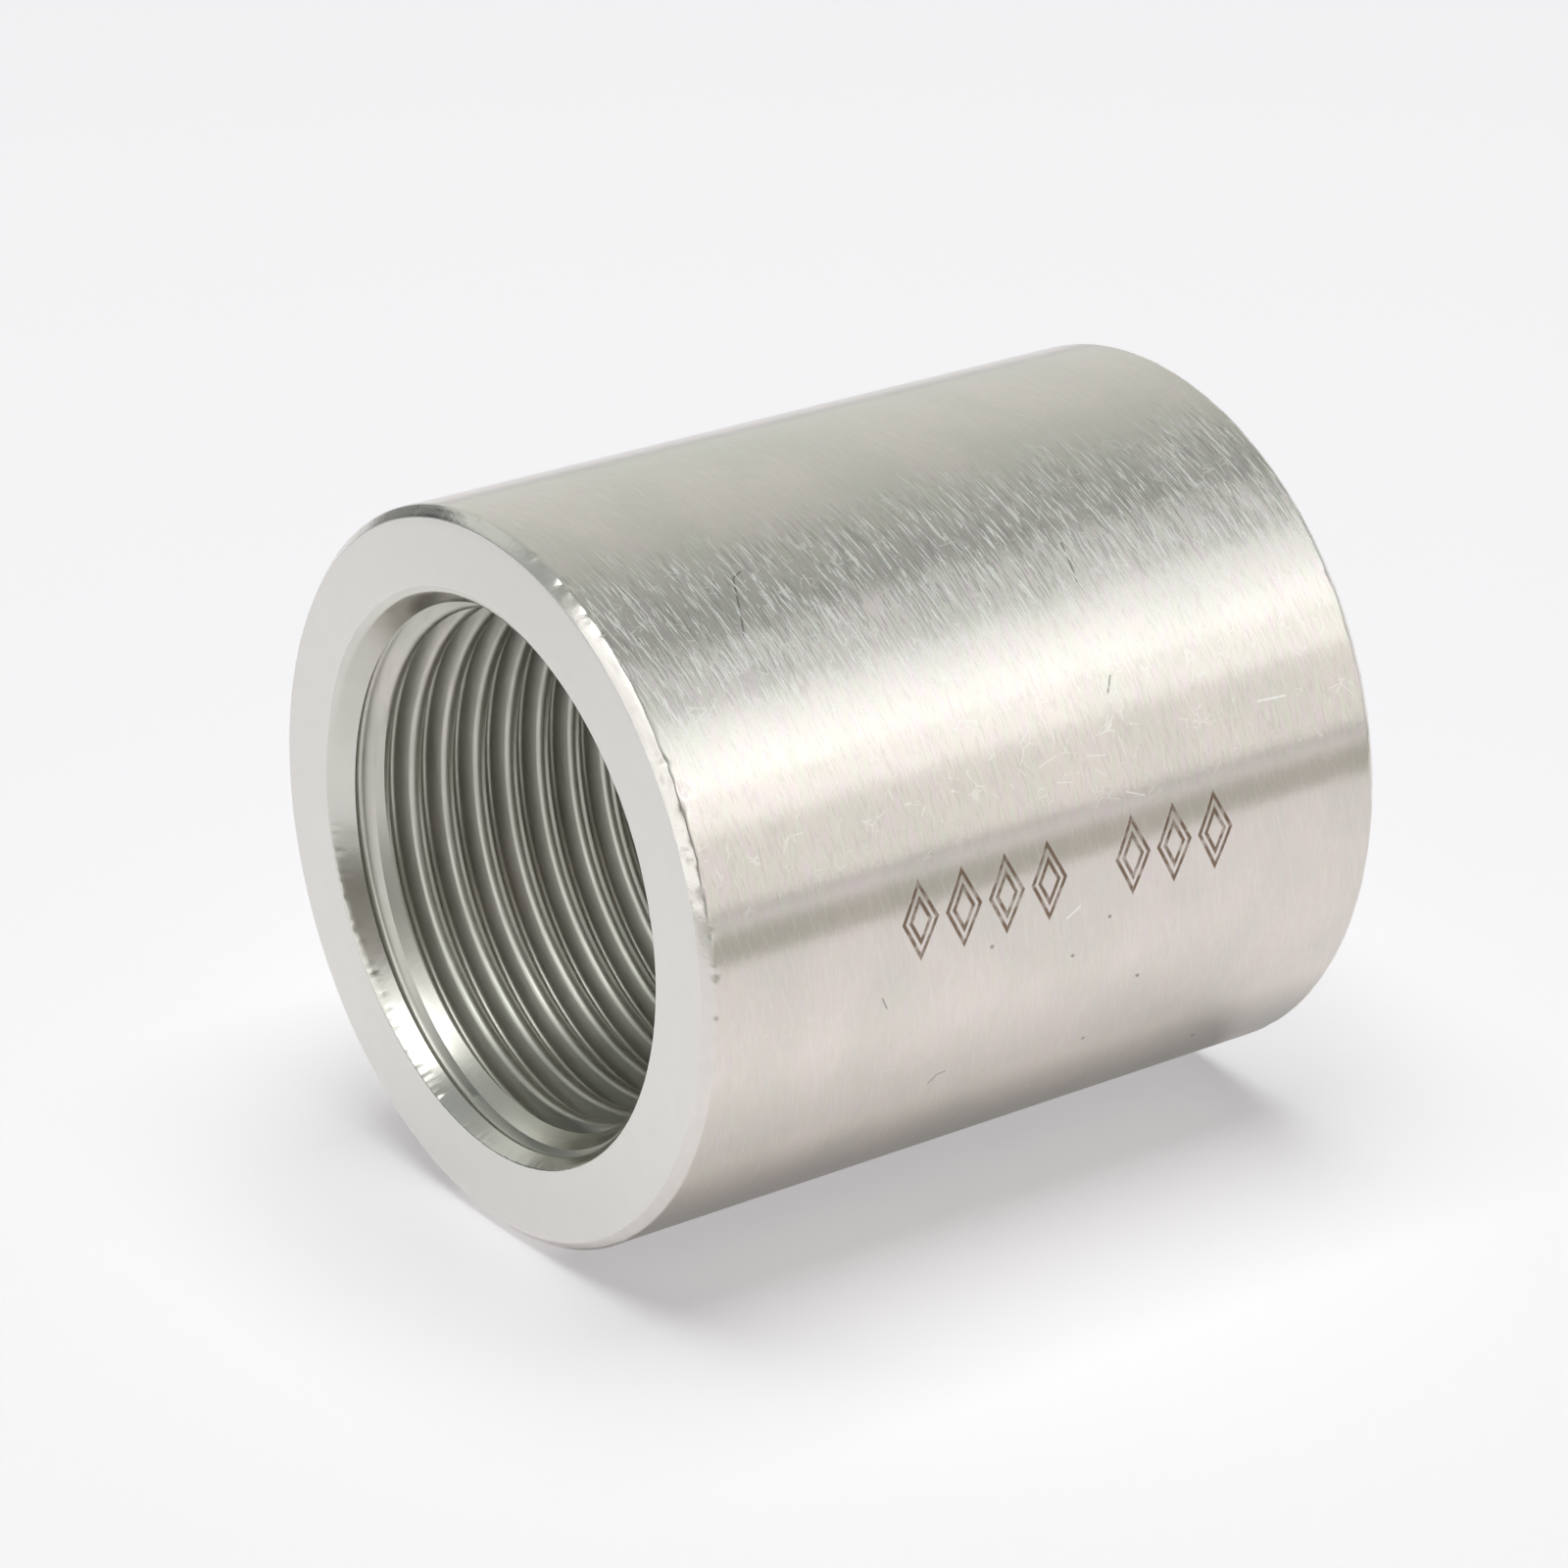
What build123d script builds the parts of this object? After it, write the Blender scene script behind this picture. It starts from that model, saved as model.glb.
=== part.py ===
"""Round stainless pipe coupling: a plain socket with a 3/4 inch parallel pipe thread right through.

The bore axis lies along +X and the origin is the middle of the bore, so the coupling lies on its
side, with the surface under it at Z = -outer_diameter / 2. All sizes are in millimetres.
"""
from build123d import *
from build123d.topology import SkipClean
import math
import os

# Driving dimensions of the turned blank
outer_diameter = 35.0
length = 38.6
edge_chamfer = 0.5

# 3/4 inch parallel pipe thread: 14 threads to the inch, 55 degree Whitworth form, right hand
threads_per_inch = 14
thread_angle = 55.0
thread_major_diameter = 26.441
tap_drill_diameter = 24.5

# Countersink that clears the first thread in each mouth
mouth_diameter = 27.2
mouth_angle = 60.0

# Depth of the first groove below the -X face, on the +Y side of the bore
first_groove_depth = 1.43

# How far the cutters reach past the surfaces that they cut
overrun = 0.25
turns_past_each_end = 2

# Worked out from the dimensions above
pitch = 25.4 / threads_per_inch
root_radius = 0.137329 * pitch
half_thread_angle = math.radians(thread_angle / 2)
mouth_slope = math.tan(math.radians(mouth_angle / 2))
bore_radius = tap_drill_diameter / 2
major_radius = thread_major_diameter / 2
mouth_radius = mouth_diameter / 2
mouth_depth = (mouth_radius - bore_radius) / mouth_slope

# The -X face, with local z along the bore, and the half turn that carries it onto the +X face
near_face = Plane(origin=(-length / 2, 0, 0), x_dir=(0, 1, 0), z_dir=(1, 0, 0))
half_turn = Rot(0, 0, 180)


def turned_blank():
    """The round bar, parted to length, with both outer edges chamfered."""
    bar = near_face * extrude(Circle(outer_diameter / 2), length)
    return chamfer(bar.edges().filter_by(GeomType.CIRCLE), edge_chamfer)


def hole_quarters():
    """The tap-drill hole as four sectors, so that each crest face spans a quarter turn at most."""
    quarter = Circle(bore_radius) & Rectangle(bore_radius, bore_radius, align=Align.MIN)
    sector = near_face * extrude(quarter, length)
    return [Rot(turn, 0, 0) * sector for turn in (0, 90, 180, 270)]


def countersink():
    """The cone that opens the -X mouth of the bore."""
    widest = mouth_radius + overrun * mouth_slope
    narrowest = bore_radius - overrun * mouth_slope
    height = mouth_depth + 2 * overrun
    cone = Cone(widest, narrowest, height, align=(Align.CENTER, Align.CENTER, Align.MIN))
    return near_face * Pos(0, 0, -overrun) * cone


def groove_section():
    """One thread groove in section: two flanks, a rounded root, and a foot inside the bore.

    Local x is the distance outward from the bore wall.
    """
    root_tip = major_radius - bore_radius
    root_x = root_tip - root_radius * (1 - math.sin(half_thread_angle))
    root_y = root_radius * math.cos(half_thread_angle)
    foot_y = root_y + (root_x + overrun) * math.tan(half_thread_angle)
    near_flank = Line((-overrun, -foot_y), (root_x, -root_y))
    root = ThreePointArc((root_x, -root_y), (root_tip, 0), (root_x, root_y))
    far_flank = Line((root_x, root_y), (-overrun, foot_y))
    foot = Line((-overrun, foot_y), (-overrun, -foot_y))
    return make_face(near_flank + root + far_flank + foot)


def thread_turns():
    """The metal that the tap takes out, one whole turn of the right-hand helix after another."""
    helix = Helix(pitch, pitch, bore_radius)
    section = Plane(helix @ 0, x_dir=(1, 0, 0), z_dir=helix % 0) * groove_section()
    turn = near_face * sweep(section, path=helix, is_frenet=True)
    last = math.ceil(length / pitch) + turns_past_each_end
    return [Pos(first_groove_depth + n * pitch, 0, 0) * turn for n in range(-turns_past_each_end, last)]


def coupling_body():
    """The blank, drilled, tapped right through and countersunk at both ends."""
    mouth = countersink()
    with SkipClean():
        drilled = turned_blank() - hole_quarters()
        tapped = drilled - thread_turns()
        return tapped - [mouth, half_turn * mouth]


if __name__ == "__main__":
    os.makedirs("parts", exist_ok=True)
    coupling = coupling_body().solid()
    coupling.label = "coupling_body"
    export_step(coupling, "parts/coupling_body.step")
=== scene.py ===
"""Looks for the round stainless pipe coupling: a turned socket with a pipe thread right through.

The CAD solid is the fixed frame. One closed mesh of the same size stands for it, and adds the broken
edges, nicks and burrs that the lathe and the tap leave. Sizes are in millimetres for the coupling and
its materials, and in metres in the studio. Angles round the bore start at +Y and grow towards +Z.
"""

import bpy
import math
import numpy as np
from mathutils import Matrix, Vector


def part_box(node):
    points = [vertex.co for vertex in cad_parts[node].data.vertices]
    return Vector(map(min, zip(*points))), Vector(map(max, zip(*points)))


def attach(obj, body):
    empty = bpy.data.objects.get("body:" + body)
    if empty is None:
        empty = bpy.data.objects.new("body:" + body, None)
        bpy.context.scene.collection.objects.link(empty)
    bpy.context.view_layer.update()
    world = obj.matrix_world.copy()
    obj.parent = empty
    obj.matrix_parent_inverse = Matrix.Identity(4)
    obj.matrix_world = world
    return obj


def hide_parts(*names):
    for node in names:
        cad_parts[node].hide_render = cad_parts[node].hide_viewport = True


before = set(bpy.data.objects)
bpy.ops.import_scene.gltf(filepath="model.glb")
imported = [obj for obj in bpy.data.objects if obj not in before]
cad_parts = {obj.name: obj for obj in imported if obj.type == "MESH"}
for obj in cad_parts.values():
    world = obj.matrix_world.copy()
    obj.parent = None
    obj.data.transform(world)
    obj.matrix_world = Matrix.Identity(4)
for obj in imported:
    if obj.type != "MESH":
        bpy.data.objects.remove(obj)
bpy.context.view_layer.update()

# ---------------------------------------------------------------- sizes, as in the CAD part
metres = 0.001
low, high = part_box("coupling_body")
half_length = high.x / metres
outer_radius = high.y / metres
edge_chamfer = 0.5
bore_radius = 24.5 / 2
major_radius = 26.441 / 2
pitch = 25.4 / 14
root_radius = 0.137329 * pitch
half_angle = math.radians(27.5)
mouth_radius = 27.2 / 2
mouth_slope = math.tan(math.radians(30))
first_groove = 1.43

root_deep = major_radius - bore_radius - root_radius * (1 - math.sin(half_angle))
root_half = root_radius * math.cos(half_angle)
groove_half = root_half + root_deep * math.tan(half_angle)

# The tap leaves the crest edges rounded, not sharp
crest_round = 0.39
round_run = crest_round * math.tan((math.pi / 2 - half_angle) / 2)
round_middle = groove_half + round_run
round_start = groove_half - round_run * math.sin(half_angle)

# ---------------------------------------------------------------- how fine the mesh is
bore_columns = 256
shell_columns = 3 * bore_columns

# Rows over each groove's root, and where the rows lie across each rounded crest edge
root_rows = 5
edge_shares = np.array([0.0, 0.28, 0.62, 1.0])

# Depth in the countersink where the thread's rows stop, and where the columns get three times as many
mouth_join = 0.6
mouth_split = 0.3

# Rows that end up closer than this to where the rows stop are merged into it
join_gap = 0.02

# Halvings in the search for the line where the countersink meets the thread
halvings = 30

# ---------------------------------------------------------------- wear on the edges
edge_break = 0.05
scattered_knocks = 22
second_bevel = 0.17

# Everywhere, and what is added at the worst place
burr_height = (0.012, 0.045)
edge_ripple = (0.008, 0.022)

# The worst place for each, as an angle and how far it reaches to both sides, in degrees
bevel_place = (65, 50)
burr_place = (300, 60)
ripple_place = (140, 60)

# Each is a sum of ripples, given as whole numbers of periods round the bore
burr_periods = (97, 141, 173, 211, 59)
ripple_periods = (7, 19, 31, 53, 83)

# How far from a dent's middle the metal is pushed up, and over what width, in widths of the dent
lip_away = 1.5
lip_spread = 0.4

random = np.random.default_rng(34)


def thread_radius(x, turns):
    """Radius of the tapped hole at x, where turns is the angle round the bore in whole turns."""
    s = (x + half_length - first_groove - pitch * turns + pitch / 2) % pitch - pitch / 2
    s = np.abs(s)
    root = major_radius - root_radius + np.sqrt(np.maximum(root_radius ** 2 - s ** 2, 0))
    flank = bore_radius + (groove_half - s) / math.tan(half_angle)
    inside = np.minimum(np.abs(s - round_middle), crest_round)
    rounded = bore_radius + crest_round - np.sqrt(crest_round ** 2 - inside ** 2)
    crest = np.where(s < round_middle, rounded, bore_radius)
    return np.where(s < root_half, root, np.where(s < round_start, flank, crest))


def mouth_cone(x):
    """Radius of the nearer countersink at x."""
    return mouth_radius - mouth_slope * (half_length - np.abs(x))


def cone_margin(x, turns):
    """How far the countersink cuts outside the thread: below 0 where the thread is what shows."""
    return mouth_cone(x) - thread_radius(x, turns)


def bore_rows():
    """Rows that follow the helix: some over each groove's root, and some round each side of a crest."""
    root = np.linspace(-root_half, root_half, root_rows)
    edge = round_start + (round_middle - round_start) * edge_shares
    phase = np.array([*root, *edge, *(pitch - edge[::-1])])
    count = len(phase)
    index = np.arange(-2 * count, (math.ceil(2 * half_length / pitch) + 2) * count)
    turns = np.arange(bore_columns) / bore_columns
    along = pitch * (index // count) + phase[index % count]
    return turns, -half_length + first_groove + pitch * turns[:, None] + along, count


def slide_to_edge(x, turns):
    """Moves the nearest row onto each line where the countersink meets the thread."""
    t = turns[:, None]
    margin = cone_margin(x, t)
    left, right = x[:, :-1].copy(), x[:, 1:].copy()
    crossed = (margin[:, :-1] > 0) != (margin[:, 1:] > 0)
    left_sign = margin[:, :-1] > 0
    for _ in range(halvings):
        middle = (left + right) / 2
        same = (cone_margin(middle, t) > 0) == left_sign
        left = np.where(same, middle, left)
        right = np.where(same, right, middle)
    on_edge = np.zeros(x.shape, bool)
    for column, row in zip(*np.nonzero(crossed)):
        at = left[column, row]
        nearer = row if at - x[column, row] < x[column, row + 1] - at else row + 1
        if on_edge[column, nearer]:
            nearer = row if nearer == row + 1 else row + 1
        x[column, nearer] = at
        on_edge[column, nearer] = True
    return on_edge


class Surface:
    """Collects points and faces. Each face has a material number and a smoothing group."""

    def __init__(self):
        self.points = []
        self.faces = []
        self.looks = []
        self.groups = []

    def add_points(self, x, radius, angle):
        first = sum(len(p) for p in self.points)
        new = np.stack([x, radius * np.cos(angle), radius * np.sin(angle)], -1).reshape(-1, 3)
        self.points.append(new)
        return first + np.arange(len(new)).reshape(np.shape(x))

    def add_faces(self, corners, look, group):
        self.faces += corners
        self.looks += [look] * len(corners)
        self.groups += [group] * len(corners)


BARREL, END, CHAMFER, COUNTERSINK, THREAD = range(5)
SHELL_GROUP, THREAD_GROUP = range(2)


def add_cell(surface, ring, at_edge, margins):
    """One cell of the bore as two triangles, cut along the mouth's edge if that crosses the cell."""
    halves = ((0, 2, 1), (0, 3, 2)) if at_edge[0] and at_edge[2] else ((0, 3, 1), (1, 3, 2))
    for half in halves:
        corners = [int(ring[k]) for k in half]
        if len(set(corners)) < 3:
            continue
        if sum(margins[k] for k in half if not at_edge[k]) > 0:
            surface.add_faces([corners], COUNTERSINK, SHELL_GROUP)
        else:
            surface.add_faces([corners], THREAD, THREAD_GROUP)


def add_bore(surface, near_ring, far_ring):
    """The tapped hole between two rings of points in the countersinks."""
    turns, x, per_turn = bore_rows()
    on_edge = slide_to_edge(x, turns)
    margin = cone_margin(x, turns[:, None])
    radius = np.maximum(mouth_cone(x), thread_radius(x, turns[:, None]))
    ids = surface.add_points(x, radius, np.broadcast_to(turns[:, None] * math.tau, x.shape))
    limit = half_length - mouth_join - join_gap
    ids = np.where(x < -limit, near_ring[:, None], ids)
    ids = np.where(x > limit, far_ring[:, None], ids)

    def next_column(values, filler):
        wrapped = np.concatenate([values[0, per_turn:], np.full(per_turn, filler)])
        return np.vstack([values[1:], wrapped])

    ids_after = next_column(ids, far_ring[0])
    edge_after = next_column(on_edge, False)
    margin_after = next_column(margin, 1.0)
    for row in range(ids.shape[1] - 1):
        for column in range(bore_columns):
            a, b = ids[column, row], ids_after[column, row]
            d, c = ids[column, row + 1], ids_after[column, row + 1]
            if a == d and b == c:
                continue
            at_edge = (on_edge[column, row], edge_after[column, row],
                       edge_after[column, row + 1], on_edge[column, row + 1])
            margins = (margin[column, row], margin_after[column, row],
                       margin_after[column, row + 1], margin[column, row + 1])
            add_cell(surface, (a, b, c, d), at_edge, margins)


# Rings of the shell's profile that wear moves, counted from either end
MOUTH_INNER, MOUTH_OUTER, CHAMFER_START, CHAMFER_END, BARREL_START = 1, 2, 6, 9, 10


def shell_profile():
    """Rings from the near countersink round the outside to the far one: x, radius, material after."""
    b = edge_break
    run = b * math.cos(math.radians(30))
    rise = b * math.sin(math.radians(30))
    end_radius = outer_radius - edge_chamfer
    # Rings close to an edge keep it crisp, and the others let a dent fade out
    near = [
        (mouth_split, mouth_radius - mouth_slope * mouth_split, COUNTERSINK),
        (run, mouth_radius - rise, COUNTERSINK),
        (0.0, mouth_radius + b, END),
        (0.0, mouth_radius + 0.6, END),
        (0.0, end_radius - 0.5, END),
        (0.0, end_radius - 0.04, END),
        (0.03, end_radius + 0.03, CHAMFER),
        (edge_chamfer * 0.36, end_radius + edge_chamfer * 0.36, CHAMFER),
        (edge_chamfer * 0.68, end_radius + edge_chamfer * 0.68, CHAMFER),
        (edge_chamfer - 0.04, outer_radius - 0.04, CHAMFER),
        (edge_chamfer + 0.05, outer_radius, BARREL),
        (edge_chamfer + 0.18, outer_radius, BARREL),
        (edge_chamfer + 0.36, outer_radius, BARREL),
        (edge_chamfer + 0.6, outer_radius, BARREL),
        (edge_chamfer + 1.0, outer_radius, BARREL),
    ]
    rings = [(x - half_length, r, look) for x, r, look in near]
    rings.append((0.0, outer_radius, BARREL))
    looks = [look for _, _, look in near]
    after = [looks[k - 1] if k else COUNTERSINK for k in range(len(near))]
    rings += [(half_length - near[k][0], near[k][1], after[k]) for k in reversed(range(len(near)))]
    return rings


def split_ring(surface, coarse, fine, flip):
    """Joins a ring of bore columns to a shell ring with three times as many."""
    count = len(coarse)
    for k in range(count):
        a, b = int(coarse[k]), int(coarse[(k + 1) % count])
        f = [int(fine[(3 * k + n) % (3 * count)]) for n in range(4)]
        corners = [[a, f[1], f[0]], [a, b, f[2], f[1]], [b, f[3], f[2]]]
        if flip:
            corners = [list(reversed(c)) for c in corners]
        surface.add_faces(corners, COUNTERSINK, SHELL_GROUP)


def wave(angle, periods, seed):
    """A smooth ripple round the bore, between about -1 and 1, from a few whole-number periods."""
    phases = np.random.default_rng(seed).uniform(0, math.tau, len(periods))
    total = sum(np.sin(n * angle + phase) for n, phase in zip(periods, phases))
    return total / math.sqrt(len(periods))


def near_angle(angle, centre, half_width):
    """1 at centre and 0 beyond half_width, both in degrees."""
    away = np.abs((np.degrees(angle) - centre + 180) % 360 - 180)
    return np.clip(1 - away / half_width, 0, 1)


# Knocks on the near rim: angle in degrees, then in mm the distance from the end, width, depth and lip
NEAR_KNOCKS = [
    (103, 0.47, 0.18, 0.04, 0.01), (110.5, 0.50, 0.24, 0.10, 0.01), (113.5, 0.47, 0.18, 0.03, 0.00),
    (117, 0.50, 0.20, 0.05, 0.01), (121, 0.48, 0.16, 0.05, 0.00), (134, 0.08, 0.16, 0.04, 0.00),
    (141, 0.20, 0.16, 0.07, 0.00), (142.6, 0.42, 0.18, 0.09, 0.00), (145.2, 0.30, 0.20, 0.08, 0.00),
    (147.3, 0.84, 0.20, 0.07, 0.01), (149.8, 0.50, 0.18, 0.05, 0.00), (152.4, 0.16, 0.16, 0.06, 0.00),
    (156.0, 0.24, 0.16, 0.08, 0.01), (157.2, 0.40, 0.16, 0.08, 0.01), (162.4, 0.46, 0.18, 0.06, 0.00),
    (168, 0.52, 0.16, 0.04, 0.00), (180.4, 0.52, 0.15, 0.10, 0.00), (193, 0.50, 0.12, 0.03, 0.00),
    (209, 0.48, 0.15, 0.06, 0.00), (72, 0.30, 0.16, 0.05, 0.00), (88, 0.44, 0.16, 0.06, 0.00),
]


def knocks():
    """The knocks on both rims: those that are listed, and small ones scattered with a fixed seed."""
    listed = [(math.radians(a), x - half_length, w, d, h) for a, x, w, d, h in NEAR_KNOCKS]
    for side in (-1, 1):
        for _ in range(scattered_knocks):
            angle = random.uniform(0, math.tau)
            away = random.uniform(0.3, 0.55)
            width = random.uniform(0.10, 0.18)
            depth = random.uniform(0.01, 0.04)
            listed.append((angle, side * (half_length - away), width, depth, 0.0))
    return listed


def dent(points, outward, angle, x, width, depth, lip):
    """Presses a small dent into the rim, with the metal pushed up on one side of it."""
    radius = outer_radius - max(edge_chamfer - (half_length - abs(x)), 0)
    centre = np.array([x, radius * math.cos(angle), radius * math.sin(angle)])
    onward = np.array([0.0, -math.sin(angle), math.cos(angle)])
    stretch = random.uniform(0.8, 1.8)
    apart = points - centre
    round_it = apart @ onward
    away = np.sqrt(np.sum(apart ** 2, -1) + round_it ** 2 * (1 / stretch ** 2 - 1)) / width
    pushed_up = np.exp(-((away - lip_away) / lip_spread) ** 2) * (round_it > 0)
    points -= outward * (depth * np.exp(-away ** 2) - lip * pushed_up)[..., None]


def wear_edges(x, radius, angle, side, order):
    """Burrs and a second bevel at one mouth, and a wavy line along that end's chamfer."""
    least, most = burr_height
    burr = least + most * near_angle(angle, *burr_place)
    burr *= wave(angle, burr_periods, 5 + side)
    radius[order(MOUTH_OUTER)] += second_bevel * np.minimum(near_angle(angle, *bevel_place) * 3, 1)
    radius[order(MOUTH_INNER)] -= np.maximum(burr, 0)
    radius[order(MOUTH_OUTER)] += np.minimum(burr, 0) * 0.8
    least, most = edge_ripple
    edge = least + most * near_angle(angle, *ripple_place)
    edge *= wave(angle, ripple_periods, 11 + side)
    x[order(CHAMFER_END)] -= side * edge
    x[order(BARREL_START)] -= side * edge
    x[order(CHAMFER_START)] -= side * np.maximum(edge, 0) * 0.5


def build_shell(surface):
    """The outside, both ends and the outer part of both countersinks."""
    rings = shell_profile()
    angle = np.arange(shell_columns) / shell_columns * math.tau
    x = np.array([r[0] for r in rings])[:, None] + 0 * angle
    radius = np.array([r[1] for r in rings])[:, None] + 0 * angle
    last = len(rings) - 1
    wear_edges(x, radius, angle, -1, lambda k: k)
    wear_edges(x, radius, angle, 1, lambda k: last - k)
    points = np.stack([x, radius * np.cos(angle), radius * np.sin(angle)], -1)
    on_an_end = radius < outer_radius - 0.01
    outward = np.stack([np.sign(x) * on_an_end, np.cos(angle) + 0 * x, np.sin(angle) + 0 * x], -1)
    outward /= np.linalg.norm(outward, axis=-1, keepdims=True)
    for knock in knocks():
        dent(points, outward, *knock)
    points[..., 0] = np.clip(points[..., 0], -half_length, half_length)
    size = np.hypot(points[..., 1], points[..., 2])
    points[..., 1:] *= np.minimum(1, outer_radius / size)[..., None]
    size = np.hypot(points[..., 1], points[..., 2])
    ids = surface.add_points(points[..., 0], size, angle + 0 * x)
    for k in range(last):
        a, b = ids[k], ids[k + 1]
        corners = np.stack([a, np.roll(a, -1), np.roll(b, -1), b], -1).tolist()
        surface.add_faces(corners, rings[k][2], SHELL_GROUP)
    return ids


def corner_normals(points, faces, groups):
    """Normals at each face's corners, averaged by area inside each smoothing group."""
    totals = np.zeros((2, len(points), 3))
    sizes = np.array([len(f) for f in faces])
    for size in (3, 4):
        chosen = np.nonzero(sizes == size)[0]
        corner = np.array([faces[k] for k in chosen])
        p = points[corner]
        normal = np.cross(p[:, 2] - p[:, 0], p[:, size - 1] - p[:, 1])
        for k in range(size):
            np.add.at(totals, (groups[chosen], corner[:, k]), normal)
    totals /= np.maximum(np.linalg.norm(totals, axis=-1, keepdims=True), 1e-20)
    corner_group = np.repeat(groups, sizes)
    return totals[corner_group, np.concatenate(faces)]


def make_mesh(surface, name):
    """The Blender mesh of a surface, without the points that no face uses."""
    points = np.vstack(surface.points) * metres
    used = np.zeros(len(points), bool)
    for face in surface.faces:
        used[face] = True
    new_id = np.cumsum(used) - 1
    points = points[used]
    faces = [new_id[f].tolist() for f in surface.faces]
    mesh = bpy.data.meshes.new(name)
    mesh.from_pydata(points.tolist(), [], faces)
    mesh.polygons.foreach_set("material_index", surface.looks)
    mesh.polygons.foreach_set("use_smooth", [True] * len(faces))
    normals = corner_normals(points, faces, np.array(surface.groups))
    mesh.normals_split_custom_set(normals.tolist())
    mesh.update()
    return mesh


def coupling():
    """The coupling's one mesh object: the shell, and the bore joined to it at both mouths."""
    surface = Surface()
    shell = build_shell(surface)
    turns = np.arange(bore_columns) / bore_columns
    join_radius = np.full(bore_columns, mouth_radius - mouth_slope * mouth_join)
    near_x = np.full(bore_columns, mouth_join - half_length)
    near_ring = surface.add_points(near_x, join_radius, turns * math.tau)
    far_ring = surface.add_points(-near_x, join_radius, turns * math.tau)
    split_ring(surface, near_ring, shell[0], False)
    split_ring(surface, far_ring, shell[-1], True)
    add_bore(surface, near_ring, far_ring)
    mesh = make_mesh(surface, "coupling")
    piece = bpy.data.objects.new("coupling", mesh)
    bpy.context.scene.collection.objects.link(piece)
    return piece


# ---------------------------------------------------------------- materials
class Graph:
    """Short calls for building a node material."""

    def __init__(self, name):
        self.material = bpy.data.materials.new(name)
        self.material.use_nodes = True
        self.tree = self.material.node_tree
        self.shader = self.tree.nodes["Principled BSDF"]

    def node(self, kind, **settings):
        made = self.tree.nodes.new(kind)
        for key, value in settings.items():
            setattr(made, key, value)
        return made

    def feed(self, socket, value):
        """Links value to the socket if it comes from a node, and sets it there if it is a constant."""
        if isinstance(value, bpy.types.NodeSocket):
            self.tree.links.new(value, socket)
        else:
            socket.default_value = value

    def math(self, operation, *values, clamp=False):
        made = self.node("ShaderNodeMath", operation=operation, use_clamp=clamp)
        for socket, value in zip(made.inputs, values):
            self.feed(socket, value)
        return made.outputs[0]

    def place(self):
        return self.node("ShaderNodeTexCoord").outputs["Object"]

    def scaled(self, place, scale, shear=0.0):
        """Object coordinates in cycles for each millimetre, with x leaning by shear along z."""
        parts = self.node("ShaderNodeSeparateXYZ")
        self.feed(parts.inputs[0], place)
        leaning = self.math("MULTIPLY_ADD", parts.outputs[2], shear, parts.outputs[0])
        joined = self.node("ShaderNodeCombineXYZ")
        values = (leaning, parts.outputs[1], parts.outputs[2])
        for socket, value, size in zip(joined.inputs, values, scale):
            self.feed(socket, self.math("MULTIPLY", value, size / metres))
        return joined.outputs[0]

    def noise(self, vector, detail=2.0, rough=0.5):
        made = self.node("ShaderNodeTexNoise")
        self.feed(made.inputs["Vector"], vector)
        made.inputs["Scale"].default_value = 1.0
        made.inputs["Detail"].default_value = detail
        made.inputs["Roughness"].default_value = rough
        return made.outputs[0]

    def ramp(self, value, start, end, low=0.0, high=1.0):
        """A smooth step from low, where value is at start or before it, to high at end."""
        made = self.node("ShaderNodeMapRange", interpolation_type="SMOOTHSTEP")
        for socket, number in zip(made.inputs, (value, start, end, low, high)):
            self.feed(socket, number)
        return made.outputs[0]

    def blend(self, factor, a, b):
        made = self.node("ShaderNodeMix", data_type="RGBA")
        self.feed(made.inputs[0], factor)
        self.feed(made.inputs[6], a)
        self.feed(made.inputs[7], b)
        return made.outputs[2]

    def bump(self, height, size, strength, normal=None):
        """A bump of size millimetres for each unit of height, on top of normal if that is given."""
        made = self.node("ShaderNodeBump")
        self.feed(made.inputs["Height"], height)
        made.inputs["Distance"].default_value = size * metres
        made.inputs["Strength"].default_value = strength
        if normal is not None:
            self.feed(made.inputs["Normal"], normal)
        return made.outputs[0]

    def unrolled(self, place):
        """Millimetres from the near end, and millimetres round the outside from the -Y side."""
        parts = self.node("ShaderNodeSeparateXYZ")
        self.feed(parts.inputs[0], place)
        along = self.math("MULTIPLY_ADD", parts.outputs[0], 1 / metres, half_length)
        behind = self.math("MULTIPLY", parts.outputs[1], -1)
        below = self.math("MULTIPLY", parts.outputs[2], -1)
        return along, self.math("MULTIPLY", self.math("ARCTAN2", below, behind), outer_radius)

    def round_axis(self, place, cycles):
        """A place that depends on the distance from the axis alone, in cycles for each millimetre."""
        flat = self.node("ShaderNodeVectorMath", operation="MULTIPLY")
        self.feed(flat.inputs[0], place)
        flat.inputs[1].default_value = (0, 1, 1)
        length = self.node("ShaderNodeVectorMath", operation="LENGTH")
        self.feed(length.inputs[0], flat.outputs[0])
        joined = self.node("ShaderNodeCombineXYZ")
        self.feed(joined.inputs[0], self.math("MULTIPLY", length.outputs["Value"], cycles / metres))
        return joined.outputs[0]

    def streaks(self, place, lean, level, soft, scale):
        """Short scratches that run nearly round the bore: 1 on a scratch and 0 off it."""
        return self.ramp(self.noise(self.scaled(place, scale, lean), 2.0), level, level + soft)

    def hairlines(self, place, cells, level):
        """Broken straight hairlines in every direction, cells of them for each millimetre."""
        walls = self.node("ShaderNodeTexVoronoi", feature="DISTANCE_TO_EDGE")
        self.feed(walls.inputs["Vector"], self.scaled(place, (cells, cells, cells)))
        walls.inputs["Scale"].default_value = 1.0
        line = self.ramp(walls.outputs["Distance"], 0.045 * cells, 0.015 * cells)
        broken = self.ramp(self.noise(self.scaled(place, (1.3, 0.9, 0.9)), 2.0), level, level + 0.08)
        return self.math("MULTIPLY", line, broken)

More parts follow.
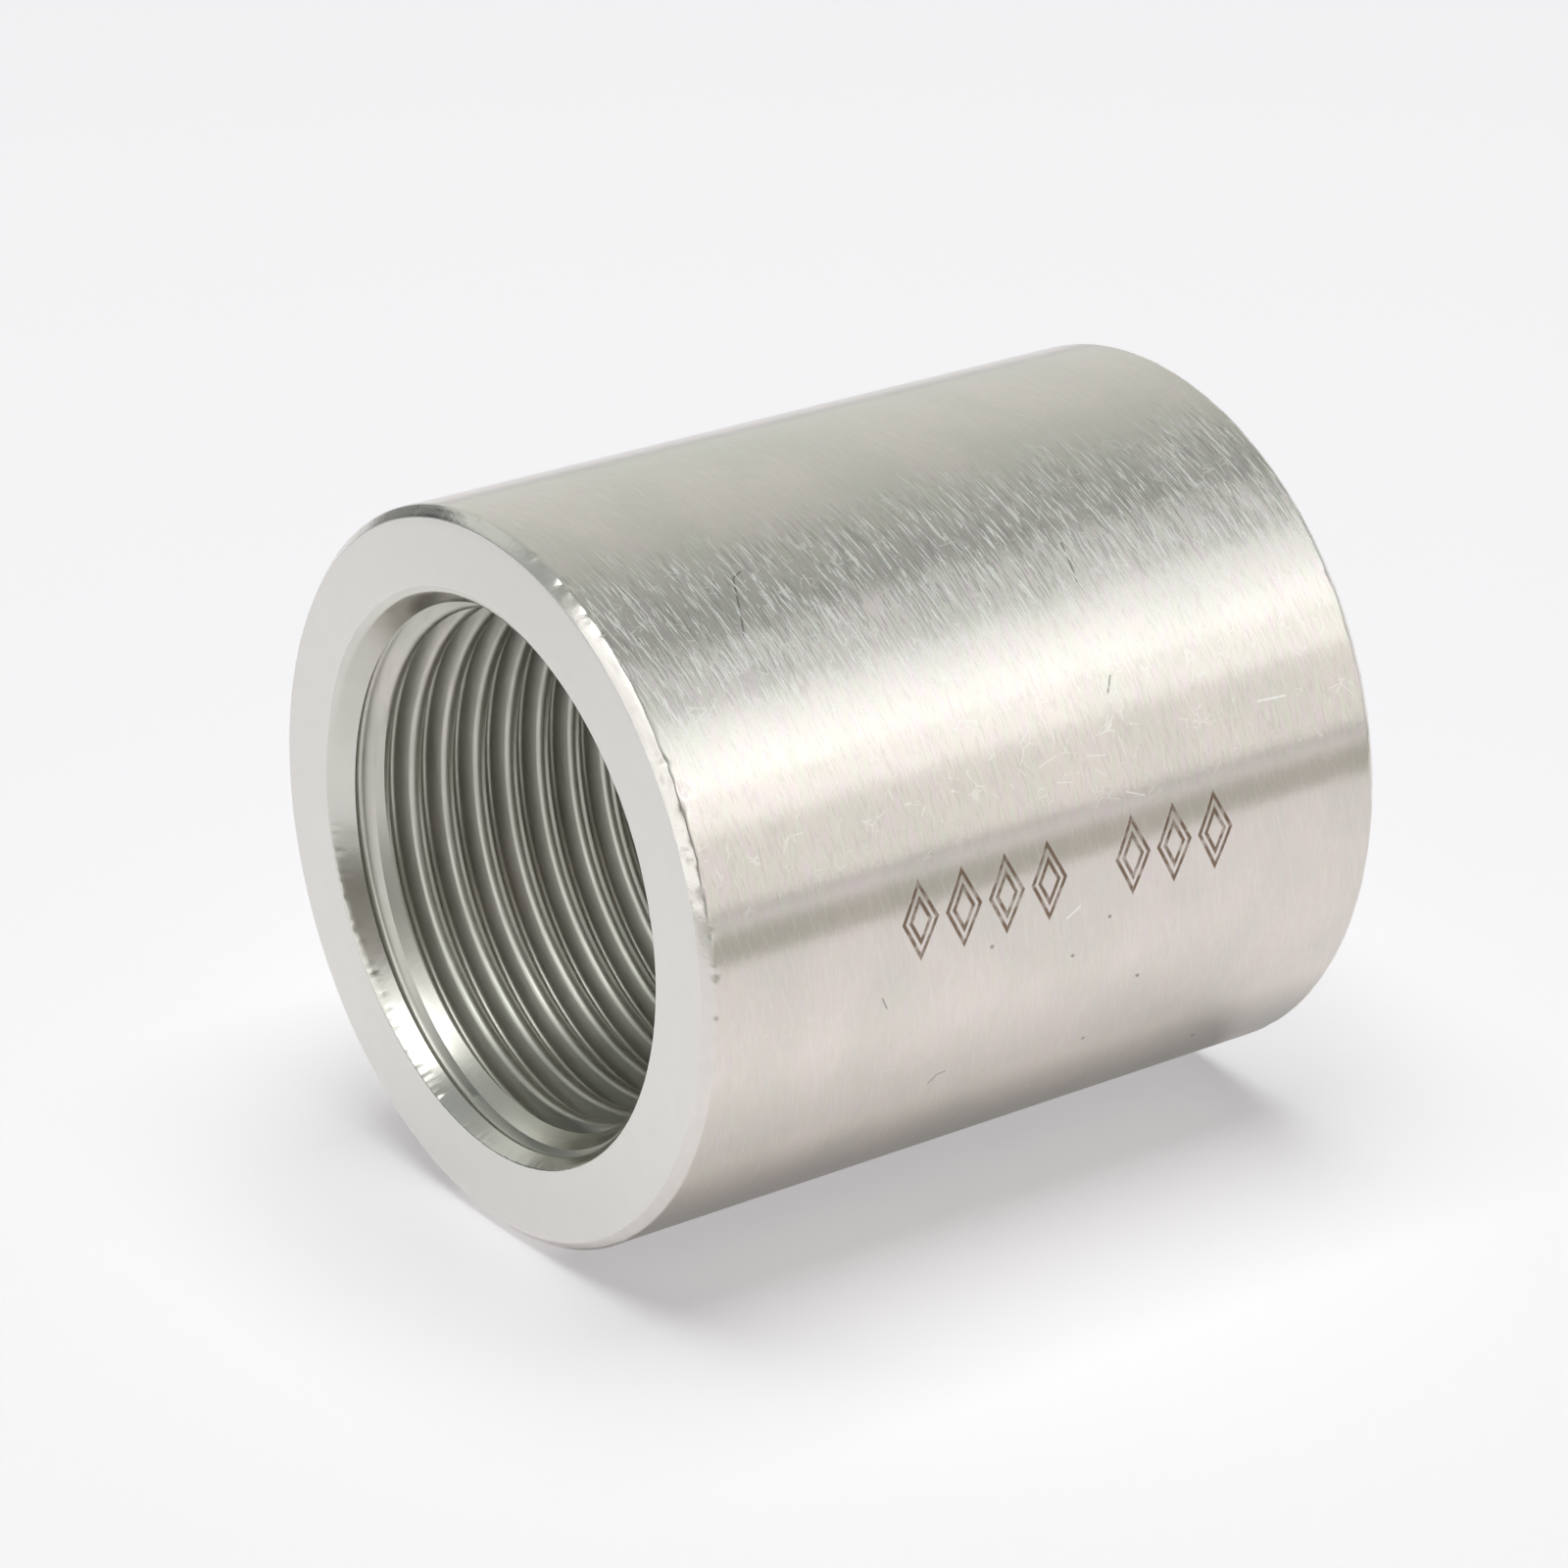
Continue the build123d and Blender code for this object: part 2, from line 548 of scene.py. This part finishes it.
    def pits(self, place, scale, size, rare):
        """Scattered round spots of about size millimetres. rare is the share of cells without one."""
        cells = self.node("ShaderNodeTexVoronoi")
        self.feed(cells.inputs["Vector"], self.scaled(place, (scale, scale, scale)))
        cells.inputs["Scale"].default_value = 1.0
        spot = self.ramp(cells.outputs["Distance"], size * scale, size * scale * 0.5)
        chosen = self.node("ShaderNodeSeparateColor")
        self.feed(chosen.inputs[0], cells.outputs["Color"])
        return self.math("MULTIPLY", spot, self.math("GREATER_THAN", chosen.outputs[0], rare))

    def scratches(self, sheet, listed):
        """The listed scratches: 1 on one of them. Each has two ends, in sheet's mm, and a half width."""
        drawn = None
        for start, end, width in listed:
            run = Vector((*end, 0)) - Vector((*start, 0))
            apart = self.node("ShaderNodeVectorMath", operation="SUBTRACT")
            self.feed(apart.inputs[0], sheet)
            apart.inputs[1].default_value = (*start, 0)
            dot = self.node("ShaderNodeVectorMath", operation="DOT_PRODUCT")
            self.feed(dot.inputs[0], apart.outputs[0])
            dot.inputs[1].default_value = run / run.length_squared
            share = self.math("MULTIPLY", dot.outputs["Value"], 1.0, clamp=True)
            nearest = self.node("ShaderNodeVectorMath", operation="SCALE")
            nearest.inputs[0].default_value = run
            self.feed(nearest.inputs["Scale"], share)
            gap = self.node("ShaderNodeVectorMath", operation="DISTANCE")
            self.feed(gap.inputs[0], apart.outputs[0])
            self.feed(gap.inputs[1], nearest.outputs[0])
            line = self.ramp(gap.outputs["Value"], width, width * 0.4)
            drawn = line if drawn is None else self.math("MAXIMUM", drawn, line)
        return drawn

    def etching(self, along, arc):
        """Two groups of plain lozenges, drawn in thin double lines. They stand for no letters."""
        phase = self.math("MULTIPLY_ADD", along, 1 / etch_spacing, -etch_start / etch_spacing)
        phase = self.math("FRACT", phase)
        u = self.math("ABSOLUTE", self.math("MULTIPLY_ADD", phase, etch_spacing, -etch_spacing / 2))
        v = self.math("ABSOLUTE", self.math("ADD", arc, etch_above))
        slant = math.hypot(etch_width, etch_height)
        edge = self.math("MULTIPLY", u, etch_height / slant)
        edge = self.math("MULTIPLY_ADD", v, etch_width / slant, edge)
        lines = []
        for inset in (0.0, etch_inset):
            off = self.math("ADD", edge, inset - etch_width * etch_height / slant)
            lines.append(self.ramp(self.math("ABSOLUTE", off), etch_line, etch_line / 2))
        drawn = self.math("MAXIMUM", *lines)
        inside = []
        for start, end in etch_groups:
            begun = self.ramp(along, start, start + 0.1)
            inside.append(self.math("MULTIPLY", begun, self.ramp(along, end, end - 0.1)))
        return self.math("MULTIPLY", drawn, self.math("ADD", *inside))

    def turned_metal(self, anisotropy):
        """A metal whose gloss is drawn out across the marks that turning left round the X axis."""
        self.shader.inputs["Metallic"].default_value = 1.0
        self.shader.inputs["Anisotropic"].default_value = anisotropy
        self.shader.inputs["Anisotropic Rotation"].default_value = 0.25
        tangent = self.node("ShaderNodeTangent", direction_type="RADIAL", axis="X")
        self.feed(self.shader.inputs["Tangent"], tangent.outputs[0])


# The etched lozenges. Groups run along the bore, from the near end. etch_above is from the -Y side.
etch_groups = ((10.35, 20.15), (22.5, 30.0))
etch_start = 10.45
etch_spacing = 2.42
etch_width = 0.92
etch_height = 1.75
etch_above = 1.37
etch_inset = 0.34
etch_line = 0.12

# Single marks on the outside, in mm from the near end and mm round from the -Y side: ends, half width
DARK_MARKS = [
    ((8.2, -19.05), (7.0, -16.1), 0.07), ((8.2, -19.05), (8.76, -19.3), 0.07),
    ((24.95, -16.4), (24.64, -14.35), 0.07), ((13.53, 8.2), (13.84, 7.76), 0.05),
    ((13.84, 7.76), (14.31, 7.68), 0.05), ((23.9, -9.0), (24.3, -9.7), 0.06),
    ((9.6, 1.9), (9.9, 2.5), 0.05), ((15.66, 0.98), (15.7, 1.0), 0.13),
    ((20.45, 2.82), (20.5, 2.85), 0.12), ((24.75, 5.26), (24.8, 5.3), 0.13),
    ((22.69, 8.66), (22.7, 8.7), 0.12), ((31.07, 12.34), (31.1, 12.4), 0.14),
    ((22.44, 1.32), (22.5, 1.35), 0.11),
]
PALE_MARKS = [
    ((15.85, -18.9), (15.86, -17.4), 0.07), ((19.08, -14.45), (19.45, -12.4), 0.08),
    ((19.15, -6.6), (20.2, -6.9), 0.04), ((20.0, -5.7), (20.8, -5.55), 0.04),
    ((22.2, -5.8), (22.8, -5.3), 0.04), ((21.9, -6.5), (22.9, -6.3), 0.04),
    ((23.7, -4.4), (24.7, -4.0), 0.05), ((3.1, -18.1), (3.1, -16.9), 0.06),
    ((25.9, -18.1), (25.7, -16.7), 0.06), ((30.2, -17.2), (30.0, -15.6), 0.06),
    ((36.0, -16.1), (36.1, -15.4), 0.06), ((19.96, 0.74), (20.67, 0.34), 0.07),
    ((28.6, -8.4), (29.0, -9.2), 0.06), ((32.0, -6.7), (33.6, -6.6), 0.08),
]


def barrel_wear(g, place, along, arc):
    """Where the outside is scratched: pale wear, dark grooves, single dark marks, and how worn it is.

    The scratched zone runs along the upper front. Its edges are ragged, and its scratches thin out
    towards the front.
    """
    sheet = g.node("ShaderNodeCombineXYZ")
    g.feed(sheet.inputs[0], along)
    g.feed(sheet.inputs[1], arc)
    drift = g.noise(g.scaled(place, (0.5, 0.3, 0.3)), 2.0)
    ragged = g.math("ADD", arc, g.math("MULTIPLY_ADD", drift, 5.0, -2.5))
    zone_start = g.ramp(ragged, -22.8, -19.6)
    strong = g.math("MULTIPLY", zone_start, g.ramp(ragged, -8.5, -13.5))
    weak = g.math("MULTIPLY", zone_start, g.ramp(arc, -3.2, -5.0))
    early = g.math("MULTIPLY", zone_start, g.ramp(ragged, -12.5, -15.8))

    bright = g.math("MAXIMUM", g.streaks(place, 0.26, 0.58, 0.06, (9.0, 0.48, 0.48)),
                    g.streaks(place, 0.02, 0.61, 0.07, (8.5, 0.75, 0.75)))
    worn = g.math("MULTIPLY", bright, g.math("MULTIPLY_ADD", strong, 0.88, 0.11))
    hairs = g.math("MAXIMUM", g.hairlines(place, 0.45, 0.52), g.hairlines(place, 0.8, 0.56))
    hairs = g.math("MULTIPLY", hairs, g.math("MULTIPLY_ADD", weak, 0.45, 0.10))
    worn = g.math("MAXIMUM", worn, hairs)
    worn = g.math("MAXIMUM", worn, g.scratches(sheet.outputs[0], PALE_MARKS))

    dark = g.streaks(place, 0.12, 0.53, 0.09, (7.5, 0.6, 0.6))
    sunk = g.math("MULTIPLY", dark, g.math("MULTIPLY_ADD", early, 0.80, 0.04))
    dark_marks = g.scratches(sheet.outputs[0], DARK_MARKS)
    sunk = g.math("MAXIMUM", sunk, dark_marks)
    return worn, sunk, dark_marks, weak


def barrel_metal(g, place, weak):
    """The outside's colour before its scratches: warm patches, green and pink tints, and grey flecks."""
    warm = g.noise(g.scaled(place, (0.22, 0.16, 0.16)), 3.0)
    colour = g.blend(g.ramp(warm, 0.35, 0.65), (0.672, 0.638, 0.583, 1), (0.735, 0.672, 0.628, 1))
    tint = g.noise(g.scaled(place, (2.6, 0.7, 0.7), 0.1), 2.0)
    tinted = g.math("MULTIPLY_ADD", weak, 0.45, 0.35)
    green = g.math("MULTIPLY", tinted, g.ramp(tint, 0.5, 0.68))
    pink = g.math("MULTIPLY", tinted, g.ramp(tint, 0.5, 0.34))
    colour = g.blend(green, colour, (0.690, 0.678, 0.600, 1))
    colour = g.blend(pink, colour, (0.722, 0.632, 0.638, 1))
    flecks = g.noise(g.scaled(place, (6.5, 1.2, 1.2), 0.08), 3.0, 0.6)
    flecks = g.math("MULTIPLY", g.ramp(flecks, 0.50, 0.36), g.math("MULTIPLY_ADD", weak, 0.20, 0.08))
    return g.blend(flecks, colour, (0.50, 0.47, 0.44, 1))


def barrel_material():
    """The turned outside: fine turning marks, scratches along the upper front, and brown etching."""
    g = Graph("turned_steel")
    g.turned_metal(0.6)
    place = g.place()
    along, arc = g.unrolled(place)
    worn, sunk, dark_marks, weak = barrel_wear(g, place, along, arc)
    burnt = g.noise(g.scaled(place, (1.6, 1.6, 1.6)), 3.0)
    etched = g.math("MULTIPLY", g.etching(along, arc), g.ramp(burnt, 0.30, 0.58, 0.45, 1.0))

    colour = barrel_metal(g, place, weak)
    colour = g.blend(g.math("MULTIPLY", sunk, 0.55), colour, (0.40, 0.39, 0.37, 1))
    colour = g.blend(g.math("MULTIPLY", dark_marks, 0.6), colour, (0.24, 0.22, 0.20, 1))
    colour = g.blend(g.math("MULTIPLY", worn, 0.85), colour, (0.97, 0.95, 0.92, 1))
    colour = g.blend(g.math("MULTIPLY", etched, 0.92), colour, (0.19, 0.125, 0.08, 1))
    g.feed(g.shader.inputs["Base Color"], colour)

    grain = g.noise(g.scaled(place, (9.0, 0.35, 0.35)), 3.0, 0.6)
    rough = g.math("MULTIPLY_ADD", grain, 0.08, 0.135)
    rough = g.math("MULTIPLY_ADD", worn, 0.26, rough)
    rough = g.math("MULTIPLY_ADD", etched, 0.20, rough)
    g.feed(g.shader.inputs["Roughness"], rough)
    wobble = g.noise(g.scaled(place, (1.1, 0.6, 0.6)), 3.0)
    normal = g.bump(wobble, 0.01, 0.8)
    normal = g.bump(grain, 0.01, 0.35, normal)
    normal = g.bump(g.math("ADD", etched, sunk), -0.012, 0.5, normal)
    g.feed(g.shader.inputs["Normal"], normal)
    return g.material


def end_material():
    """The faced ends: matt, with faint rings from the facing cut and a few pits."""
    g = Graph("faced_steel")
    g.turned_metal(0.35)
    place = g.place()
    mottle = g.noise(g.scaled(place, (0.7, 0.7, 0.7)), 4.0)
    colour = g.blend(mottle, (0.755, 0.735, 0.700, 1), (0.815, 0.797, 0.768, 1))
    pits = g.pits(place, 0.8, 0.07, 0.86)
    colour = g.blend(g.math("MULTIPLY", pits, 0.5), colour, (0.35, 0.34, 0.32, 1))
    g.feed(g.shader.inputs["Base Color"], colour)
    rings = g.noise(g.round_axis(place, 6.0), 2.0)
    g.feed(g.shader.inputs["Roughness"], g.math("MULTIPLY_ADD", mottle, 0.12, 0.38))
    normal = g.bump(rings, 0.01, 0.4)
    normal = g.bump(pits, -0.03, 0.6, normal)
    g.feed(g.shader.inputs["Normal"], normal)
    return g.material


def chamfer_material():
    """The broken outer edges: bright, lightly scuffed."""
    g = Graph("chamfered_steel")
    g.turned_metal(0.4)
    place = g.place()
    mottle = g.noise(g.scaled(place, (2.5, 1.2, 1.2)), 3.0)
    colour = g.blend(mottle, (0.700, 0.665, 0.625, 1), (0.790, 0.755, 0.715, 1))
    g.feed(g.shader.inputs["Base Color"], colour)
    g.feed(g.shader.inputs["Roughness"], g.math("MULTIPLY_ADD", mottle, 0.14, 0.14))
    scuffs = g.noise(g.scaled(place, (5.0, 3.0, 3.0), 0.6), 3.0)
    g.feed(g.shader.inputs["Normal"], g.bump(scuffs, 0.02, 0.4))
    return g.material


def countersink_material():
    """The countersinks at both mouths: clean metal with chatter marks, duller where the thread begins."""
    g = Graph("countersunk_steel")
    g.turned_metal(0.35)
    place = g.place()
    parts = g.node("ShaderNodeSeparateXYZ")
    g.feed(parts.inputs[0], place)
    from_middle = g.math("ABSOLUTE", parts.outputs[0])
    deep = g.ramp(from_middle, (half_length - 1.1) * metres, (half_length - 2.1) * metres)
    mottle = g.noise(g.scaled(place, (0.5, 0.5, 0.5)), 3.0)
    clean = g.blend(mottle, (0.600, 0.588, 0.540, 1), (0.690, 0.670, 0.625, 1))
    g.feed(g.shader.inputs["Base Color"], g.blend(deep, clean, (0.595, 0.583, 0.533, 1)))
    rough = g.math("MULTIPLY_ADD", mottle, 0.12, 0.14)
    g.feed(g.shader.inputs["Roughness"], g.math("MULTIPLY_ADD", deep, 0.14, rough))
    chatter = g.noise(g.scaled(place, (0.8, 3.0, 3.0)), 2.0)
    g.feed(g.shader.inputs["Normal"], g.bump(chatter, 0.008, 0.5))
    return g.material


def thread_material():
    """The tapped thread: duller than the rest, with fine marks along the helix."""
    g = Graph("tapped_steel")
    g.turned_metal(0.3)
    place = g.place()
    mottle = g.noise(g.scaled(place, (0.4, 0.25, 0.25)), 3.0)
    colour = g.blend(g.ramp(mottle, 0.3, 0.7), (0.545, 0.543, 0.488, 1), (0.615, 0.596, 0.548, 1))
    marks = g.noise(g.scaled(place, (8.0, 0.5, 0.5)), 2.0)
    colour = g.blend(g.ramp(marks, 0.55, 0.75, 0.0, 0.4), colour, (0.46, 0.45, 0.41, 1))
    g.feed(g.shader.inputs["Base Color"], colour)
    g.feed(g.shader.inputs["Roughness"], g.math("MULTIPLY_ADD", marks, 0.14, 0.29))
    g.feed(g.shader.inputs["Normal"], g.bump(mottle, 0.02, 0.2))
    return g.material


# ---------------------------------------------------------------- the studio, in metres
floor_height = -outer_radius * metres
floor_reach = 3.0
floor_colour = (0.90, 0.90, 0.90, 1)
floor_glow = 0.36
card_lift = 0.0005

view_azimuth = math.radians(-36.26)
view_elevation = math.radians(23.17)
view_distance = 0.2763
view_lens = 134.05
view_shift = -0.0273

cool_white = (0.925, 0.955, 0.98)
white = (1, 1, 1)

# The lamps that light only the metal: direction, distance, width, height, radiance, rise, colour.
# rise lifts a lamp in place, without tilting it.
GLOSS_LAMPS = {
    "left_panel": ((-0.983, -0.200, 0), 0.6, 0.77, 1.85, 0.87, 0.9, white),
    "right_box": ((0.544, -0.556, 0.628), 0.6, 0.42, 0.18, 0.38, 0, cool_white),
    "right_glow": ((0.544, -0.5337, 0.6475), 0.6, 0.55, 0.43, 0.40, 0, cool_white),
    "left_core": ((-0.42, -0.13, 0.90), 0.6, 0.23, 0.23, 2.0, 0, white),
}


def softbox(name, direction, distance, width, height, radiance):
    """A rectangular light that faces the object. radiance is what a mirror shows of it."""
    light = bpy.data.lights.new(name, "AREA")
    light.shape = "RECTANGLE"
    light.size = width
    light.size_y = height
    light.energy = radiance * math.pi * width * height
    lamp = bpy.data.objects.new(name, light)
    lamp.location = Vector(direction).normalized() * distance
    lamp.rotation_euler = Vector(direction).to_track_quat("Z", "Y").to_euler()
    bpy.context.scene.collection.objects.link(lamp)
    return lamp


def make_lamps():
    """Four lamps that only the metal shows, and one overhead that lights the floor."""
    for name, (*box, rise, colour) in GLOSS_LAMPS.items():
        lamp = softbox(name, *box)
        lamp.location.z += rise
        lamp.data.color = colour
        lamp.visible_diffuse = False
    sky = softbox("sky", (0, 0, 1), 1.0, 0.85, 0.85, 3.45)
    sky.visible_glossy = False


class World:
    """Short calls for building the world's light from the direction that it comes from."""

    def __init__(self):
        world = bpy.data.worlds.new("studio")
        bpy.context.scene.world = world
        world.use_nodes = True
        world.cycles_visibility.diffuse = False
        self.tree = world.node_tree
        self.background = self.tree.nodes["Background"]
        self.direction = self.tree.nodes.new("ShaderNodeTexCoord").outputs["Generated"]
        self.glow = (0.44, 0.47, 0.455, 1)

    def vector(self, operation, first, second=None):
        made = self.tree.nodes.new("ShaderNodeVectorMath")
        made.operation = operation
        for socket, value in zip(made.inputs, (first, second)):
            if isinstance(value, bpy.types.NodeSocket):
                self.tree.links.new(value, socket)
            elif value is not None:
                socket.default_value = value
        return made

    def step(self, value, start, end):
        made = self.tree.nodes.new("ShaderNodeMapRange")
        made.interpolation_type = "SMOOTHSTEP"
        self.tree.links.new(value, made.inputs[0])
        made.inputs[1].default_value = start
        made.inputs[2].default_value = end
        return made.outputs[0]

    def patch(self, centre, radius, soft, flat=False):
        """1 within radius degrees of centre, 0 from soft degrees further. flat ignores height."""
        towards = self.direction
        if flat:
            towards = self.vector("MULTIPLY", towards, (1, 1, 0)).outputs[0]
            towards = self.vector("NORMALIZE", towards).outputs[0]
        dot = self.vector("DOT_PRODUCT", towards, Vector(centre).normalized())
        outer = math.cos(math.radians(radius + soft))
        inner = math.cos(math.radians(radius))
        return self.step(dot.outputs["Value"], outer, inner)

    def band(self, centre, radius, soft, top):
        """A stretch of the horizon round centre, up to the height top."""
        round_it = self.patch(centre, radius, soft, flat=True)
        parts = self.tree.nodes.new("ShaderNodeSeparateXYZ")
        self.tree.links.new(self.direction, parts.inputs[0])
        below = self.step(parts.outputs[2], top + 0.05, top - 0.05)
        made = self.tree.nodes.new("ShaderNodeMath")
        made.operation = "MULTIPLY"
        self.tree.links.new(round_it, made.inputs[0])
        self.tree.links.new(below, made.inputs[1])
        return made.outputs[0]

    def paint(self, where, colour):
        """Lays colour over the world so far, as strongly as where says."""
        made = self.tree.nodes.new("ShaderNodeMix")
        made.data_type = "RGBA"
        self.tree.links.new(where, made.inputs[0])
        for socket, value in ((made.inputs[6], self.glow), (made.inputs[7], (*colour, 1))):
            if isinstance(value, bpy.types.NodeSocket):
                self.tree.links.new(value, socket)
            else:
                socket.default_value = value
        self.glow = made.outputs[2]


def make_world():
    """A pale room, brighter low down at the right and behind, with dark gaps between its lights."""
    w = World()
    # Seen from the camera: a wide glow behind, a white wall at the right, a patch high at the left
    w.paint(w.patch((0.54, 0.84, 0), 0, 78), (0.745, 0.776, 0.743))
    w.paint(w.patch((0.54, -0.84, 0.1), 16, 30), (1.0, 1.005, 0.98))
    w.paint(w.patch((-0.33, 0.81, 0.49), 8, 13), (0.76, 0.80, 0.77))
    # Dark places: two low ones behind at the left, one round the camera, and one in front at the left
    w.paint(w.band((-0.05, 1.0, 0), 12, 7, 0.36), (0.27, 0.28, 0.27))
    w.paint(w.band((-0.66, 0.75, 0), 26, 10, 0.38), (0.05, 0.06, 0.06))
    w.paint(w.patch((-0.53, -0.74, 0.40), 14, 12), (0.25, 0.24, 0.22))
    w.paint(w.patch((-1.0, 0, 0.36), 12, 12), (0.22, 0.23, 0.22))
    seen_directly = w.tree.nodes.new("ShaderNodeLightPath").outputs["Is Camera Ray"]
    w.paint(seen_directly, (0.92, 0.93, 0.93))
    w.tree.links.new(w.glow, w.background.inputs["Color"])


def flat_sheet(name, low_corner, high_corner, height):
    """A rectangle that lies flat, and that isn't part of the object."""
    (x0, y0), (x1, y1) = low_corner, high_corner
    mesh = bpy.data.meshes.new(name)
    corners = [(x0, y0, height), (x1, y0, height), (x1, y1, height), (x0, y1, height)]
    mesh.from_pydata(corners, [], [(0, 1, 2, 3)])
    sheet = bpy.data.objects.new(name, mesh)
    bpy.context.scene.collection.objects.link(sheet)
    return sheet


def make_floor():
    """The pale floor, with a faint even glow that fills the shadows."""
    floor = flat_sheet("floor", (-floor_reach, -floor_reach), (floor_reach, floor_reach), floor_height)
    g = Graph("white_sheet")
    g.shader.inputs["Roughness"].default_value = 0.9
    g.shader.inputs["Specular IOR Level"].default_value = 0.0
    g.shader.inputs["Base Color"].default_value = floor_colour
    g.shader.inputs["Emission Color"].default_value = (0.97, 0.96, 1.0, 1)
    g.shader.inputs["Emission Strength"].default_value = floor_glow
    floor.data.materials.append(g.material)


def make_card(name, low_corner, high_corner, colour, glow, fade=0.0):
    """A card on the floor that only reflections show. Over the width fade, its Y edges turn into floor."""
    card = flat_sheet(name, low_corner, high_corner, floor_height + card_lift)
    g = Graph(name + "_paint")
    g.shader.inputs["Roughness"].default_value = 0.9
    g.shader.inputs["Emission Color"].default_value = (1, 1, 1, 1)
    if fade:
        parts = g.node("ShaderNodeSeparateXYZ")
        g.feed(parts.inputs[0], g.place())
        away = g.math("ABSOLUTE", parts.outputs[1])
        end = high_corner[1]
        colour = g.blend(g.ramp(away, end - fade, end), colour, floor_colour)
        glow = g.ramp(away, end - fade, end, glow, floor_glow)
    g.feed(g.shader.inputs["Base Color"], colour)
    g.feed(g.shader.inputs["Emission Strength"], glow)
    card.data.materials.append(g.material)
    card.visible_camera = False
    card.visible_diffuse = False
    card.visible_shadow = False


def make_camera():
    """The main view: 36 degrees round from -Y towards -X, and 23 degrees down."""
    level = math.cos(view_elevation)
    across = math.sin(view_azimuth) * level
    ahead = math.cos(view_azimuth) * level
    back = Vector((across, -ahead, math.sin(view_elevation)))
    lens = bpy.data.cameras.new("camera")
    lens.lens = view_lens
    lens.sensor_width = 36
    lens.shift_x = view_shift
    camera = bpy.data.objects.new("camera", lens)
    camera.location = back * view_distance
    camera.rotation_euler = back.to_track_quat("Z", "Y").to_euler()
    bpy.context.scene.collection.objects.link(camera)
    bpy.context.scene.camera = camera


make_camera()
make_world()
make_floor()
# One card stands for the table beyond the white sheet, and one is painted shade under the coupling that
# only reflections show
make_card("grey_card", (-0.5, -0.19), (0.5, -0.082), (0.56, 0.565, 0.50, 1), 0.13)
make_card("painted_shade_card", (-0.0187, -0.0155), (0.025, 0.0155), (0.45, 0.44, 0.44, 1), 0.20, 0.0075)
make_lamps()

piece = coupling()
for make in (barrel_material, end_material, chamfer_material, countersink_material, thread_material):
    piece.data.materials.append(make())
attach(piece, "root")
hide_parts("coupling_body")

bpy.context.scene.view_settings.view_transform = "Standard"
